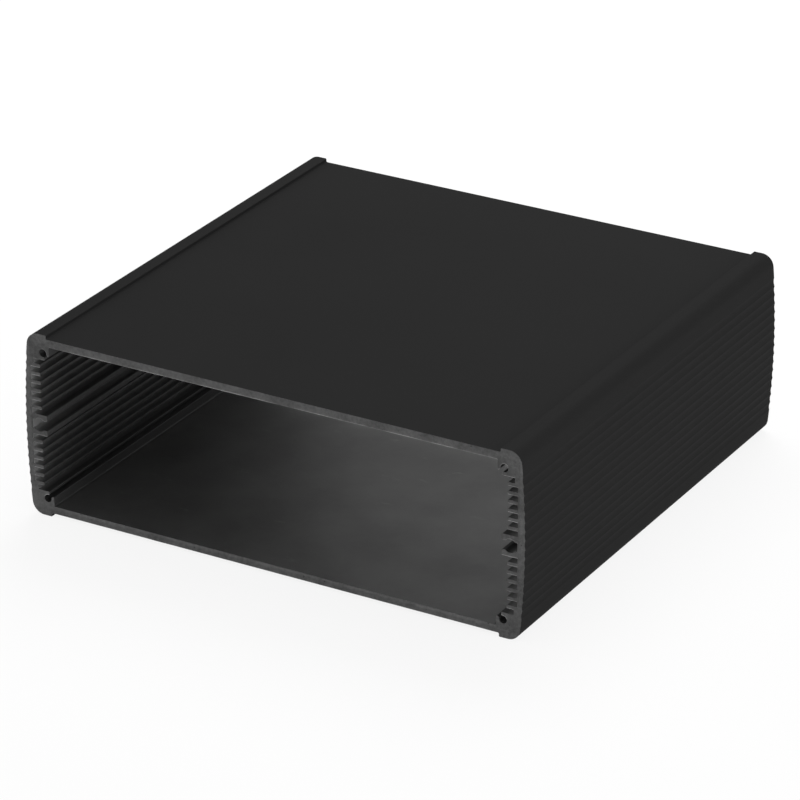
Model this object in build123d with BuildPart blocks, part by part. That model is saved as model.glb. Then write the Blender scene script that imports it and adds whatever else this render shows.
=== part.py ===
from build123d import *
import math
import os

os.makedirs("parts", exist_ok=True)

# Aluminium enclosure body: one sawn length of hollow extrusion, open at both ends.
# X runs across the width, Y along the extrusion and Z up.
# The origin is under the middle of the body, on the surface that it rests on.

# Driving dimensions, in millimetres

# Overall size
body_width = 168.0            # across the crowned sides, at mid-height
body_height = 59.0            # over the corner rails
body_length = 160.0           # from one sawn end to the other

# Crowned sides and rounded corners
side_radius = 260.0           # the shallow outward bow of each side
corner_radius = 4.0
flute_pitch = 2.79            # fine grooves along the outside of each side
flute_depth = 0.22
flute_land = 0.15             # flat left on the crest between two flutes
flute_margin = 3.1            # smooth band between the last flute and the corner

# Top and bottom panels, sunk between the corner rails
rail_inset = 8.1              # from the widest point of the side to the inner edge of a rail
rail_height = 1.2
rail_edge_radius = 0.3
rail_foot_radius = 0.45       # where a rail meets its panel
panel_thickness = 2.35

# Side walls and the board slots inside them
side_wall = 2.4               # from the crest of the side to the bottom of a slot
slot_depth = 3.3
slot_height = 1.7
slot_pitch = 2.73
corner_slot_depth = 2.2       # the slot beside a corner boss is shallower
slot_bottom_radius = 0.2
tooth_tip_radius = 0.25

# Screw channel at mid-height of each side wall: a straight slot with a round waist
channel_mouth = 3.0
channel_wall = 2.5            # from the crest of the side to the bottom of the channel
channel_radius = 2.15
channel_seat = 0.76           # straight stretch between the waist and the bottom
channel_bottom_radius = 0.4
lip_length = 1.16             # straight stretch between the lips, in front of the waist
lip_thickness = 1.85          # from the mouth of the channel to the first slot
lip_radius = 0.35

# Screw ports in the four corners, each opened to the bay by a slanted slit
port_radius = 1.25
port_inset_x = 6.85           # from the widest point of the side to the port's centre
port_inset_z = 5.8            # from the face of the rail to the port's centre
port_mouth = 1.3
port_wall = 0.9               # metal from the port to the bay, and from the port to the last slot
boss_tip_width = 0.45         # flat on the end of the boss, beside the slit
boss_root_radius = 0.4
boss_edge_radius = 0.2
rib_reach = 0.55              # how far the rib under the port stands out past its centre
rib_edge_radius = 0.2

# Values worked out from them
half_width = body_width / 2
half_height = body_height / 2
crown_centre_x = half_width - side_radius
corner_x = crown_centre_x + math.sqrt(side_radius**2 - half_height**2)
rail_edge_x = half_width - rail_inset
panel_inner_z = half_height - rail_height - panel_thickness

slot_bottom_x = half_width - side_wall
tooth_tip_x = slot_bottom_x - slot_depth
channel_bottom_x = half_width - channel_wall
waist_half_length = math.sqrt(channel_radius**2 - (channel_mouth / 2) ** 2)
channel_x = channel_bottom_x - channel_seat - waist_half_length
lip_tip_x = channel_x - waist_half_length - lip_length
lip_top_z = channel_mouth / 2 + lip_thickness
first_slot_z = lip_top_z + slot_height / 2

port_x = half_width - port_inset_x
port_z = half_height - port_inset_z
slit_rise = port_mouth / math.sqrt(2)
boss_face_x = port_x - port_radius - port_wall
boss_end_z = port_z + slit_rise - port_radius - port_wall + boss_tip_width
rib_tip_x = port_x - rib_reach
slot_limit_z = port_z - port_radius - port_wall

# As many slots as fit between the lip of the channel and the rib under the port
slot_count = int((slot_limit_z - slot_height / 2 - first_slot_z) / slot_pitch) + 1
last_slot_z = first_slot_z + (slot_count - 1) * slot_pitch
slot_zone_z = last_slot_z + slot_height / 2

# As many flutes as fit between the two smooth bands of a side
flute_count = 2 * int((half_height - corner_radius - flute_margin) / flute_pitch)
flute_angle = math.degrees(flute_pitch / side_radius)
flute_half_width = (flute_pitch - flute_land) / 2
flute_radius = (flute_half_width**2 + flute_depth**2) / (2 * flute_depth)

# The section is drawn in the rear end, about the middle of the body
section_plane = Plane(
    origin=(0, body_length / 2, half_height),
    x_dir=(1, 0, 0),
    z_dir=(0, -1, 0),
)
from_corner = (Align.MIN, Align.MIN)
from_left = (Align.MIN, Align.CENTER)
from_right = (Align.MAX, Align.CENTER)


def corners_at(sketch, x):
    """The corners of a section that lie at a distance x from its middle."""
    return sketch.vertices().filter_by(lambda corner: abs(abs(corner.X) - x) < 0.001)


def by_level(corners):
    """Corners, grouped from the nearest to mid-height to the farthest above and below it."""
    return corners.group_by(lambda corner: round(abs(corner.Y), 3))


with BuildPart() as enclosure_body:

    # Solid outer shape: crowned sides between flat rail faces
    with BuildSketch(section_plane) as outer_section:
        with BuildLine():
            ThreePointArc((corner_x, -half_height), (half_width, 0), (corner_x, half_height))
            Line((corner_x, half_height), (0, half_height))
            Line((corner_x, -half_height), (0, -half_height))
            mirror(about=Plane.YZ)
        make_face()
        fillet(corners_at(outer_section, corner_x), corner_radius)

        # The panels lie below the faces of the rails
        with Locations((0, half_height), (0, -half_height)):
            Rectangle(2 * rail_edge_x, 2 * rail_height, mode=Mode.SUBTRACT)
        fillet(by_level(corners_at(outer_section, rail_edge_x))[-1], rail_edge_radius)
        fillet(by_level(corners_at(outer_section, rail_edge_x))[0], rail_foot_radius)

        # Round-bottomed flutes follow the bow of each side
        for side, facing in ((1, 0), (-1, 180)):
            with Locations((side * crown_centre_x, 0)):
                with PolarLocations(
                    side_radius - flute_depth + flute_radius,
                    flute_count,
                    start_angle=facing - (flute_count - 1) / 2 * flute_angle,
                    angular_range=(flute_count - 1) * flute_angle,
                    endpoint=True,
                ):
                    Circle(flute_radius, mode=Mode.SUBTRACT)
    extrude(amount=body_length)

    # The hollow: one quarter of it is drawn, then mirrored down and across
    with BuildSketch(section_plane) as hollow_section:
        Rectangle(boss_face_x, panel_inner_z, align=from_corner)
        fillet(hollow_section.vertices().sort_by_distance((0, 0))[-1], boss_root_radius)
        Rectangle(rib_tip_x, boss_end_z, align=from_corner)
        Rectangle(tooth_tip_x, slot_zone_z, align=from_corner)
        with Locations((lip_tip_x, 0)):
            Rectangle(tooth_tip_x - lip_tip_x, lip_top_z, align=from_corner, mode=Mode.SUBTRACT)

        # Board slots, the last of them shallower
        for number in range(slot_count):
            depth = corner_slot_depth if number == slot_count - 1 else slot_depth
            with Locations((tooth_tip_x, first_slot_z + number * slot_pitch)):
                Rectangle(depth, slot_height, align=from_left)
        fillet(corners_at(hollow_section, slot_bottom_x), slot_bottom_radius)
        fillet(corners_at(hollow_section, tooth_tip_x + corner_slot_depth), slot_bottom_radius)
        fillet(corners_at(hollow_section, tooth_tip_x), tooth_tip_radius)

        # Screw port, opened by its slit
        with Locations((port_x, port_z)):
            Circle(port_radius)
            Rectangle(port_radius + port_wall, port_mouth, rotation=45, align=from_right)
        fillet(corners_at(hollow_section, rib_tip_x), rib_edge_radius)
        boss_tip = corners_at(hollow_section, boss_face_x).sort_by(Axis.Y)[0]
        fillet(boss_tip, boss_edge_radius)
        mirror(about=Plane.XZ)

        # Screw channel between the lips
        with Locations((channel_x, 0)):
            Circle(channel_radius)
        with Locations((lip_tip_x, 0)):
            Rectangle(channel_bottom_x - lip_tip_x, channel_mouth, align=from_left)
        fillet(corners_at(hollow_section, lip_tip_x), lip_radius)
        fillet(corners_at(hollow_section, channel_bottom_x), channel_bottom_radius)
        mirror(about=Plane.YZ)
    extrude(amount=body_length, mode=Mode.SUBTRACT)

enclosure_body.part.label = "enclosure_body"
export_step(enclosure_body.part, "parts/enclosure_body.step")
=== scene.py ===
"""Looks of the aluminium enclosure body: black anodised skin, bare metal inside, sawn ends."""
import math

import bpy
from mathutils import Matrix, Vector


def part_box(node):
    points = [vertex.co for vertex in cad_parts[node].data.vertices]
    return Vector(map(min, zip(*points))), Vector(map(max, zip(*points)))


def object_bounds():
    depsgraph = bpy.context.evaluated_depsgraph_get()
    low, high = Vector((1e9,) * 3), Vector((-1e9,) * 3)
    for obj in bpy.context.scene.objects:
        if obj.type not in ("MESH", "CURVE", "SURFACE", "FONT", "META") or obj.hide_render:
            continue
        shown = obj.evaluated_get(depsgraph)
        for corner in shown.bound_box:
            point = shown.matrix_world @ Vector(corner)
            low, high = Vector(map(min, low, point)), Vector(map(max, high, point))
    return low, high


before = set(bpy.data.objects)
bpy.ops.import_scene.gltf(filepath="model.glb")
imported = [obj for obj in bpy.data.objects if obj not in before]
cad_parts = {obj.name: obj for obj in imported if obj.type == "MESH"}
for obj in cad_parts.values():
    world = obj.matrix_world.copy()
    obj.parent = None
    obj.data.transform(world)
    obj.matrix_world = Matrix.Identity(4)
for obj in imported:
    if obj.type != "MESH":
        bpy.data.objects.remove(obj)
cad_low, cad_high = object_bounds()
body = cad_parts["enclosure_body"]

MM = 0.001

# The body, read from the frame
low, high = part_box("enclosure_body")
height = high.z - low.z
half_length = (high.y - low.y) / 2
half_width = (high.x - low.x) / 2
middle = (low + high) / 2

# Depths that tell the finishes apart
SKIN_SIDE = 1.9 * MM          # outer skin, in from the widest points of the sides
SKIN_TOP = 2.7 * MM           # outer skin, down from the faces of the rails
END_DEPTH = 0.02 * MM         # sawn ends

# How far the parts of a side wall reach in from its widest point
WALL_REACH = 9.0 * MM         # teeth and corner bosses
WALL_FADE = 1.2 * MM          # soft change from the wall to the panels
TOOTH_REACH = 5.7 * MM        # tips of the teeth
SLOT_FLOOR = 2.4 * MM         # bottoms of the slots

# Outer skin
SKIN_DARK = 0.0152
SKIN_LIGHT = 0.0174
SKIN_CLOUDS = 18.0            # scales of the patterns, in waves to the metre
SKIN_ROUGHNESS = 0.60

# Bay: smeared and rubbed panels; painted shade darkens the teeth and bosses, painted light lightens
# the slot bottoms
BAY_DARK = 0.29
BAY_LIGHT = 0.36
BAY_RUB = 0.43
TOOTH_PAINTED_SHADE = 0.14
SLOT_PAINTED_LIGHT = 0.55
SMEARS = 38.0
MARKS = 45.0
RUBS = (90.0, 260.0, 90.0)
DIE_LINES = (900.0, 4.0, 900.0)
BAY_SMOOTHEST = 0.46
BAY_ROUGHEST = 0.54
WALL_EXTRA_ROUGHNESS = 0.14

# Sawn ends: a mottled grain with pits, and a lighter line along the lower edges, partly a bare burr
# and partly a painted glint
END_DARK = 0.066
END_LIGHT = 0.165
PIT_GREY = 0.030
BURR_AND_GLINT_GREY = 0.55
GRAIN = 900.0
MOTTLE = 140.0
PITS = 1000.0
BURR_AND_GLINT_RADIUS = 0.25 * MM
END_ROUGHNESS = 0.55
END_METAL = 0.5

SPECULAR_LEVEL = 0.01         # the skin has hardly any gloss
BUMP_STRENGTH = 0.15
BUMP_HEIGHT = 0.05 * MM

# Floor and world
FLOOR_SIDE = 12.0
PAPER_GREY = 0.85
FLOOR_GLOW = 0.87             # share of the floor's own white in what the camera sees
HORIZON_STRENGTH = 0.5
OVERHEAD_STRENGTH = 0.1
HORIZON_RISE = 0.12
OVERHEAD_RISE = 0.42
LIGHT_STRENGTH = 0.6          # the world as a lamp

# Camera, as it stood for the photograph. Lengths are in body heights.
AZIMUTH = math.radians(30.033)
ELEVATION = math.radians(25.035)
ROLL = math.radians(-0.048)
DISTANCE = 22.70
SIDEWAYS = -0.0369
UPWARDS = -0.0899
LENS_MM = 200.0
SENSOR_MM = 36.0
CLIP_END = 20.0


def make_camera():
    back = Vector((
        math.sin(AZIMUTH) * math.cos(ELEVATION),
        -math.cos(AZIMUTH) * math.cos(ELEVATION),
        math.sin(ELEVATION),
    ))
    right = Vector((math.cos(AZIMUTH), math.sin(AZIMUTH), 0))
    up = back.cross(right)
    turned_right = right * math.cos(ROLL) + up * math.sin(ROLL)
    turned_up = up * math.cos(ROLL) - right * math.sin(ROLL)
    place = middle + (back * DISTANCE + turned_right * SIDEWAYS + turned_up * UPWARDS) * height

    data = bpy.data.cameras.new("camera")
    data.lens = LENS_MM
    data.sensor_width = SENSOR_MM
    data.clip_end = CLIP_END
    camera = bpy.data.objects.new("camera", data)
    camera.matrix_world = Matrix((
        (turned_right.x, turned_up.x, back.x, place.x),
        (turned_right.y, turned_up.y, back.y, place.y),
        (turned_right.z, turned_up.z, back.z, place.z),
        (0, 0, 0, 1),
    ))
    bpy.context.scene.collection.objects.link(camera)
    bpy.context.scene.camera = camera


class Shader:
    """Adds nodes to a tree and wires them, one call for each node."""

    def __init__(self, tree):
        self.tree = tree
        tree.nodes.clear()

    def set_input(self, socket, value):
        """Wire an output into the socket, or set the socket's own value."""
        if isinstance(value, bpy.types.NodeSocket):
            self.tree.links.new(value, socket)
        else:
            socket.default_value = value

    def node(self, kind, inputs=None, **settings):
        made = self.tree.nodes.new(kind)
        for name, value in settings.items():
            setattr(made, name, value)
        for name, value in (inputs or {}).items():
            self.set_input(made.inputs[name], value)
        return made

    def math(self, operation, *values):
        return self.node("ShaderNodeMath", dict(enumerate(values)), operation=operation).outputs[0]

    def ramp(self, value, start, end, low=0.0, high=1.0):
        """The value, mapped from start..end to low..high and held there."""
        made = self.node("ShaderNodeMapRange", {
            "Value": value, "From Min": start, "From Max": end, "To Min": low, "To Max": high,
        })
        return made.outputs["Result"]

    def mix(self, factor, a, b):
        """Two colours, mixed. The node's colour sockets are numbers 6 and 7, and output 2."""
        made = self.node("ShaderNodeMix", {0: factor, 6: a, 7: b}, data_type="RGBA")
        return made.outputs[2]

    def noise(self, place, scale, detail=2.0, roughness=0.5):
        made = self.node("ShaderNodeTexNoise", {
            "Vector": place, "Scale": scale, "Detail": detail, "Roughness": roughness,
        })
        return made.outputs[0]

    def stretched(self, place, factors):
        made = self.node("ShaderNodeVectorMath", {0: place, 1: factors}, operation="MULTIPLY")
        return made.outputs[0]

    def seen(self):
        """One for the rays that show the background: to the camera, in gloss and through glass."""
        path = self.node("ShaderNodeLightPath").outputs
        seen = self.math("MAXIMUM", path["Is Camera Ray"], path["Is Glossy Ray"])
        return self.math("MAXIMUM", seen, path["Is Transmission Ray"])


def grey(value):
    return (value, value, value, 1)


def anodised_body():
    """One material: outer skin, bay and sawn ends are told apart by their place in the body."""
    material = bpy.data.materials.new("anodised_body")
    material.use_nodes = True
    s = Shader(material.node_tree)

    place = s.node("ShaderNodeTexCoord").outputs["Object"]
    split = s.node("ShaderNodeSeparateXYZ", {"Vector": place})
    across = s.math("ABSOLUTE", s.math("SUBTRACT", split.outputs["X"], middle.x))
    along = s.math("ABSOLUTE", s.math("SUBTRACT", split.outputs["Y"], middle.y))
    upward = s.math("ABSOLUTE", s.math("SUBTRACT", split.outputs["Z"], middle.z))

    # Masks
    inside_sides = s.math("LESS_THAN", across, half_width - SKIN_SIDE)
    inside_panels = s.math("LESS_THAN", upward, height / 2 - SKIN_TOP)
    in_bay = s.math("MULTIPLY", inside_sides, inside_panels)
    on_end = s.math("GREATER_THAN", along, half_length - END_DEPTH)
    wall_edge = half_width - WALL_REACH
    on_wall = s.ramp(across, wall_edge - WALL_FADE, wall_edge)
    # From the tooth tips to the slot bottoms: where the painted light goes
    slot_light_ramp = s.ramp(across, half_width - TOOTH_REACH, half_width - SLOT_FLOOR)

    # Outer skin
    clouds = s.noise(place, SKIN_CLOUDS, 3.0)
    skin_colour = s.mix(clouds, grey(SKIN_DARK), grey(SKIN_LIGHT))

    # Bay: smears and short rubs on the panels, and die lines along the extrusion
    smears = s.ramp(s.noise(place, SMEARS, 5.0, 0.55), 0.35, 0.65)
    rubs = s.ramp(s.noise(s.stretched(place, RUBS), 1.0, 3.0, 0.6), 0.67, 0.79)
    panel_colour = s.mix(smears, grey(BAY_DARK), grey(BAY_LIGHT))
    panel_colour = s.mix(rubs, panel_colour, grey(BAY_RUB))
    # Painted shade on the tooth tips and corner bosses, painted light towards the slot bottoms
    wall_painted_shade_and_light = s.mix(slot_light_ramp, grey(TOOTH_PAINTED_SHADE), grey(SLOT_PAINTED_LIGHT))
    # The walls take this painted shade and light in place of the panel colour
    bay_colour = s.mix(on_wall, panel_colour, wall_painted_shade_and_light)
    die_lines = s.noise(s.stretched(place, DIE_LINES), 1.0, 2.0)

    # Sawn ends
    grain = s.noise(place, GRAIN, 3.0, 0.7)
    mottle = s.noise(place, MOTTLE, 3.0, 0.6)
    pits = s.ramp(s.noise(place, PITS, 2.0, 0.5), 0.66, 0.74)
    speckle = s.math("ADD", s.ramp(grain, 0.3, 0.7, 0.0, 0.6), s.ramp(mottle, 0.3, 0.7, 0.0, 0.4))
    end_colour = s.mix(speckle, grey(END_DARK), grey(END_LIGHT))
    end_colour = s.mix(pits, end_colour, grey(PIT_GREY))

    # A lighter line, in patches, where the edges of an end turn downwards: partly the saw's bare
    # burr, partly a painted glint
    rounded = s.node("ShaderNodeBevel", {"Radius": BURR_AND_GLINT_RADIUS}, samples=8).outputs["Normal"]
    droop = s.node("ShaderNodeSeparateXYZ", {"Vector": rounded}).outputs["Z"]
    burr_and_glint = s.math("MULTIPLY", s.ramp(droop, -0.08, -0.35), s.ramp(mottle, 0.3, 0.6))
    end_colour = s.mix(burr_and_glint, end_colour, grey(BURR_AND_GLINT_GREY))

    colour = s.mix(in_bay, skin_colour, bay_colour)
    colour = s.mix(on_end, colour, end_colour)

    marks = s.noise(place, MARKS, 4.0, 0.6)
    bay_rough = s.ramp(marks, 0.3, 0.7, BAY_SMOOTHEST, BAY_ROUGHEST)
    bay_rough = s.math("ADD", bay_rough, s.math("MULTIPLY", on_wall, WALL_EXTRA_ROUGHNESS))
    rough = s.ramp(in_bay, 0.0, 1.0, SKIN_ROUGHNESS, bay_rough)
    rough = s.math("MAXIMUM", rough, s.math("MULTIPLY", on_end, END_ROUGHNESS))

    metal = s.math("MAXIMUM", in_bay, s.math("MULTIPLY", on_end, END_METAL))

    relief = s.math("ADD", s.math("MULTIPLY", die_lines, in_bay), s.math("MULTIPLY", grain, on_end))
    bump = s.node("ShaderNodeBump", {
        "Height": relief, "Strength": BUMP_STRENGTH, "Distance": BUMP_HEIGHT,
    })

    shader = s.node("ShaderNodeBsdfPrincipled", {
        "Base Color": colour,
        "Roughness": rough,
        "Metallic": metal,
        "Specular IOR Level": SPECULAR_LEVEL,
        "Normal": bump.outputs["Normal"],
    })
    s.node("ShaderNodeOutputMaterial", {"Surface": shader.outputs[0]})
    return material


def make_floor():
    """A large pale floor. The camera sees it nearly white, with a faint shadow of the body."""
    reach = FLOOR_SIDE / 2
    corners = [(-reach, -reach, 0), (reach, -reach, 0), (reach, reach, 0), (-reach, reach, 0)]
    mesh = bpy.data.meshes.new("floor")
    mesh.from_pydata(corners, [], [(0, 1, 2, 3)])
    floor = bpy.data.objects.new("floor", mesh)
    floor.location.z = cad_low.z
    bpy.context.scene.collection.objects.link(floor)

    material = bpy.data.materials.new("floor")
    material.use_nodes = True
    s = Shader(material.node_tree)
    paper = s.node("ShaderNodeBsdfDiffuse", {"Color": grey(PAPER_GREY)})
    glow = s.node("ShaderNodeEmission", {"Color": grey(1.0), "Strength": 1.0})
    glowing = s.math("MULTIPLY", s.seen(), FLOOR_GLOW)
    mixed = s.node("ShaderNodeMixShader", {0: glowing, 1: paper.outputs[0], 2: glow.outputs[0]})
    s.node("ShaderNodeOutputMaterial", {"Surface": mixed.outputs[0]})
    mesh.materials.append(material)


def make_world():
    """A backdrop that dims from the horizon upwards where it is seen, and even light elsewhere."""
    world = bpy.data.worlds.new("studio")
    bpy.context.scene.world = world
    world.use_nodes = True
    s = Shader(world.node_tree)
    direction = s.node("ShaderNodeTexCoord").outputs["Generated"]
    rise = s.node("ShaderNodeSeparateXYZ", {"Vector": direction}).outputs["Z"]
    backdrop = s.ramp(rise, HORIZON_RISE, OVERHEAD_RISE, HORIZON_STRENGTH, OVERHEAD_STRENGTH)
    strength = s.ramp(s.seen(), 0.0, 1.0, LIGHT_STRENGTH, backdrop)
    light = s.node("ShaderNodeBackground", {"Color": grey(1.0), "Strength": strength})
    s.node("ShaderNodeOutputWorld", {"Surface": light.outputs[0]})


def make_lamp(name, azimuth, elevation, distance, side, watts):
    """A square softbox that faces the body. Azimuth 0 is in front of it and 90 to its right."""
    turn = math.radians(azimuth)
    rise = math.radians(elevation)
    away = Vector((
        math.sin(turn) * math.cos(rise),
        -math.cos(turn) * math.cos(rise),
        math.sin(rise),
    ))
    data = bpy.data.lights.new(name, "AREA")
    data.shape = "SQUARE"
    data.size = side
    data.energy = watts
    lamp = bpy.data.objects.new(name, data)
    lamp.location = middle + away * distance
    lamp.rotation_euler = away.to_track_quat("Z", "Y").to_euler()
    lamp.visible_camera = False
    bpy.context.scene.collection.objects.link(lamp)


make_camera()
make_world()
make_floor()
make_lamp("overhead", azimuth=200, elevation=52, distance=0.75, side=0.5, watts=4.5)
make_lamp("right", azimuth=90, elevation=10, distance=1.2, side=0.5, watts=6.5)
make_lamp("left", azimuth=270, elevation=20, distance=1.2, side=0.6, watts=1.5)
make_lamp("back", azimuth=190, elevation=8, distance=1.0, side=0.5, watts=0.5)

body.data.materials.clear()
body.data.materials.append(anodised_body())

bpy.context.scene.view_settings.view_transform = "Standard"
